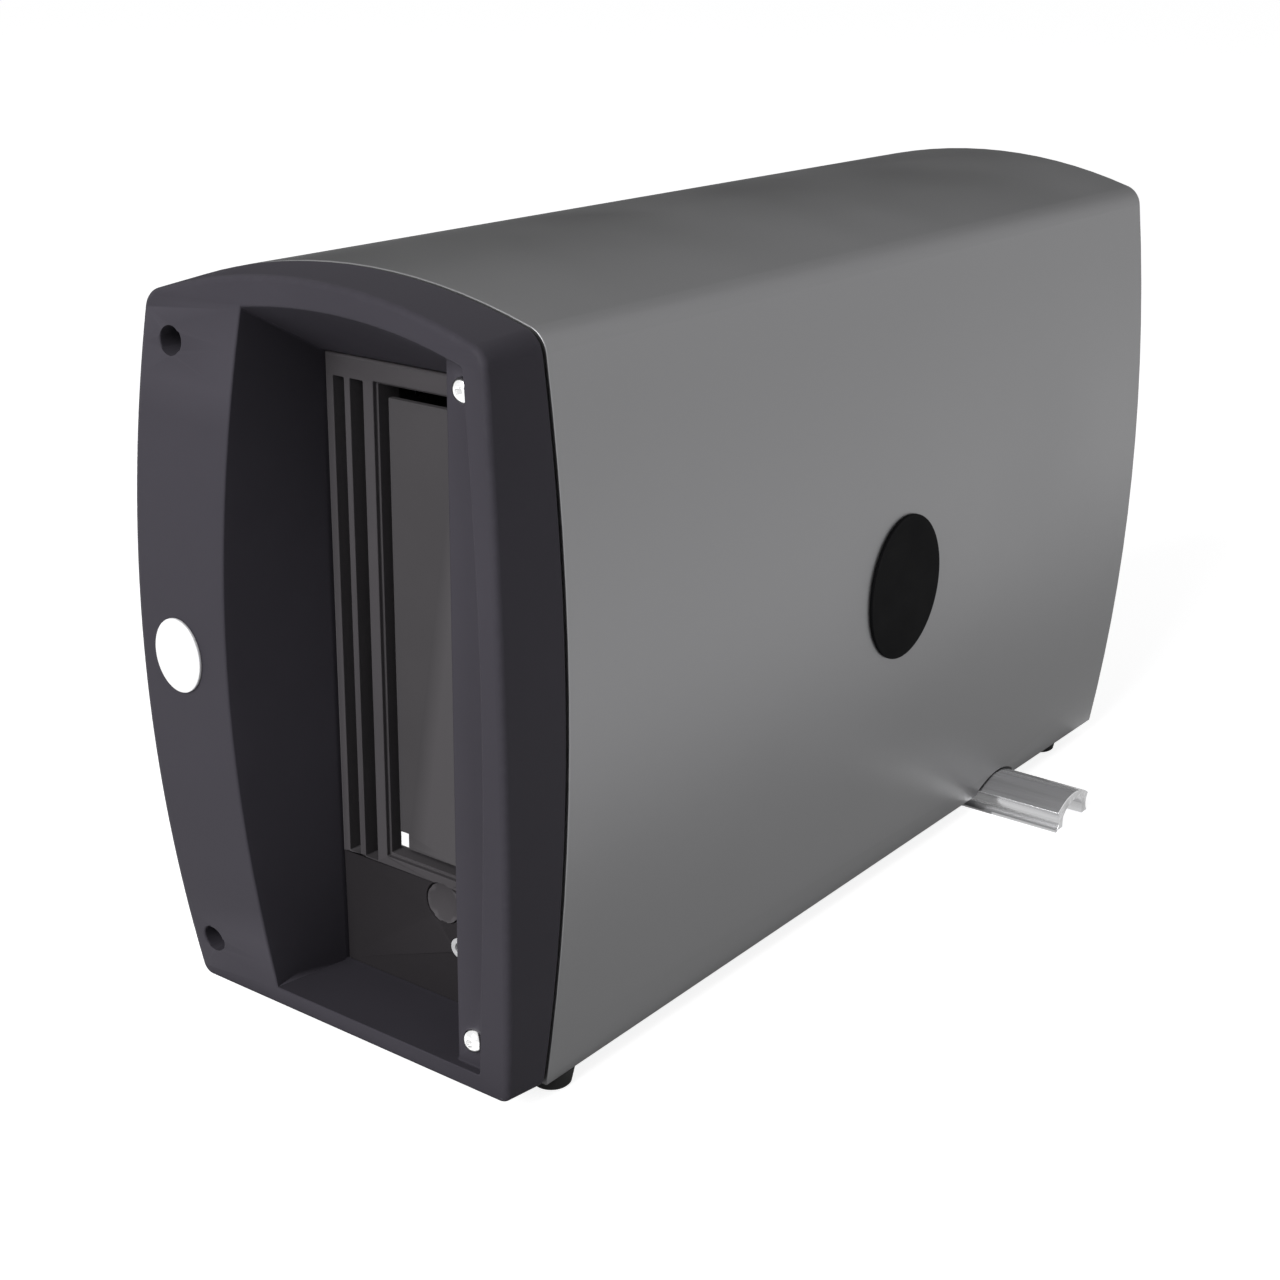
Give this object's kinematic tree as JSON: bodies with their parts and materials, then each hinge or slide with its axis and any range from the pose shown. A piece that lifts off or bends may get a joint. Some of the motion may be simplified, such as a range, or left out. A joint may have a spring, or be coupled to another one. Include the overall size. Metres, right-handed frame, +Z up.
{
  "type": "data tape drive",
  "caption": "Desktop cartridge tape drive: bow-sided metal case, deep recessed black front, drive on its side, stabiliser bar under the rear.",
  "frame": {"origin": "centre of the whole object's footprint, on the surface it stands on", "axes": "+Z up, -Y out of the front bezel, +X to the viewer's right when facing the front"},
  "size_m": [0.148, 0.2951, 0.18],
  "materials": {
    "sleeve_metal": "satin, clear coated",
    "plain_steel": "zinc plated sheet",
    "polished_bar": "polished with lengthwise brushing",
    "foot_rubber": "matt",
    "zinc_screw": "zinc plated",
    "bezel_plastic": "fine satin grain",
    "dark_screw": "black oxide",
    "bright_screw": "polished",
    "badge_white": "gloss",
    "badge_black": "gloss",
    "aluminium_block": "milled",
    "panel_black": "powder coated",
    "fan_plastic": "moulded",
    "fitting_plastic": "moulded",
    "brass_pin": "plated",
    "cast_metal": "as cast and machined",
    "chassis_black": "black coated casting",
    "board_green": "solder mask",
    "drive_plastic": "fine texture",
    "door_plastic": "fine texture",
    "marker_white": "moulded inlay",
    "light_pipe": "clear moulding",
    "reel_plastic": "moulded",
    "transformer_wrap": "tape wrapped core",
    "can_black": "sleeved",
    "socket_white": "moulded",
    "port_steel": "drawn shell",
    "lead_black": "sheathed"
  },
  "bodies": {
    "case": {"outer_sleeve": "sleeve_metal", "base_pan": "plain_steel", "stabiliser_bar": "polished_bar", "rubber_feet": "foot_rubber", "foot_and_bar_screws": "zinc_screw", "front_bezel": "bezel_plastic", "bezel_screws": "dark_screw", "ledge_screws": "bright_screw", "front_frame": "plain_steel", "front_badge": "badge_white", "side_badge": "badge_black", "corner_blocks": "aluminium_block", "rear_panel": "panel_black", "rear_screws": "dark_screw", "fan_frame": "fan_plastic", "power_inlet": "fitting_plastic", "inlet_pins": "brass_pin", "switch_frame": "fitting_plastic", "drive_cage": "plain_steel", "small_screws": "zinc_screw", "drive_chassis": "chassis_black", "rear_sockets": "fitting_plastic", "drive_cover": "plain_steel", "drive_board": "board_green", "drive_bezel": "drive_plastic", "door_hinge_pin": "zinc_screw", "front_board": "board_green", "indicator_light": "light_pipe", "reel_motors": "plain_steel", "path_posts": "plain_steel", "supply_board": "board_green", "supply_transformer": "transformer_wrap", "supply_capacitors": "can_black", "heat_sinks": "aluminium_block", "board_standoffs": "brass_pin", "board_sockets": "socket_white", "interface_tray": "plain_steel", "interface_board": "board_green", "interface_chips": "can_black", "data_ports": "port_steel", "port_tongues": "fitting_plastic", "data_cable": "lead_black", "mains_lead": "lead_black", "drive_power_lead": "lead_black", "fan_lead": "lead_black"},
    "door": {"cartridge_door": "door_plastic", "door_marker": "marker_white"},
    "button": {"eject_button": "drive_plastic"},
    "rocker": {"power_rocker": "fitting_plastic"},
    "fan": {"fan_rotor": "fan_plastic"},
    "cam": {"cam_slider": "plain_steel"},
    "carrier": {"cartridge_carrier": "plain_steel"},
    "clutch": {"drive_clutch": "cast_metal"},
    "reel": {"take_up_reel": "reel_plastic"},
    "head": {"head_carriage": "cast_metal"},
    "arm": {"threading_arm": "cast_metal"},
    "roller_1": {"guide_roller_1": "cast_metal"},
    "roller_2": {"guide_roller_2": "cast_metal"},
    "roller_3": {"guide_roller_3": "cast_metal"},
    "roller_4": {"guide_roller_4": "cast_metal"}
  },
  "joints": [
    {"name": "door_hinge", "type": "hinge", "parent": "case", "child": "door", "pos_m": [0.0174, -0.11675, 0.0967], "axis": [0, 0, -1], "range_deg": [0, 88], "stiffness_Nm_per_rad": 0.01, "springref_deg": -11.46},
    {"name": "button_press", "type": "slide", "parent": "case", "child": "button", "axis": [0, 1, 0], "range_m": [0, 0.0015], "stiffness_N_per_m": 300, "springref_m": -0.0004},
    {"name": "rocker_tip", "type": "hinge", "parent": "case", "child": "rocker", "pos_m": [0.02, 0.13905, 0.032], "axis": [-1, 0, 0], "range_deg": [0, 16]},
    {"name": "fan_spin", "type": "hinge", "parent": "case", "child": "fan", "pos_m": [0, 0.13245, 0.13], "axis": [0, 1, 0], "continuous": true},
    {"name": "cam_slide", "type": "slide", "parent": "case", "child": "cam", "axis": [0, 1, 0], "range_m": [0, 0.014]},
    {"name": "carrier_drop", "type": "slide", "parent": "case", "child": "carrier", "axis": [-1, 0, 0], "range_m": [0, 0.0035]},
    {"name": "clutch_spin", "type": "hinge", "parent": "case", "child": "clutch", "pos_m": [-0.00815, -0.04305, 0.0967], "axis": [1, 0, 0], "continuous": true},
    {"name": "reel_spin", "type": "hinge", "parent": "case", "child": "reel", "pos_m": [-0.00315, 0.04895, 0.0967], "axis": [1, 0, 0], "continuous": true},
    {"name": "head_step", "type": "slide", "parent": "case", "child": "head", "axis": [1, 0, 0], "range_m": [-0.0035, 0.0035]},
    {"name": "arm_swing", "type": "hinge", "parent": "case", "child": "arm", "pos_m": [0.0174, 0.06295, 0.06], "axis": [-1, 0, 0], "range_deg": [0, 78]},
    {"name": "roller_1_spin", "type": "hinge", "parent": "case", "child": "roller_1", "pos_m": [0.0005, 0.01595, 0.04], "axis": [1, 0, 0], "continuous": true},
    {"name": "roller_2_spin", "type": "hinge", "parent": "case", "child": "roller_2", "pos_m": [0.0005, 0.02245, 0.026], "axis": [1, 0, 0], "continuous": true},
    {"name": "roller_3_spin", "type": "hinge", "parent": "case", "child": "roller_3", "pos_m": [0.0005, 0.05145, 0.026], "axis": [1, 0, 0], "continuous": true},
    {"name": "roller_4_spin", "type": "hinge", "parent": "case", "child": "roller_4", "pos_m": [0.0005, 0.05795, 0.04], "axis": [1, 0, 0], "continuous": true}
  ],
  "couplings": [
    {"joint": "carrier_drop", "follows": "cam_slide", "ratio": 0.25}
  ]
}
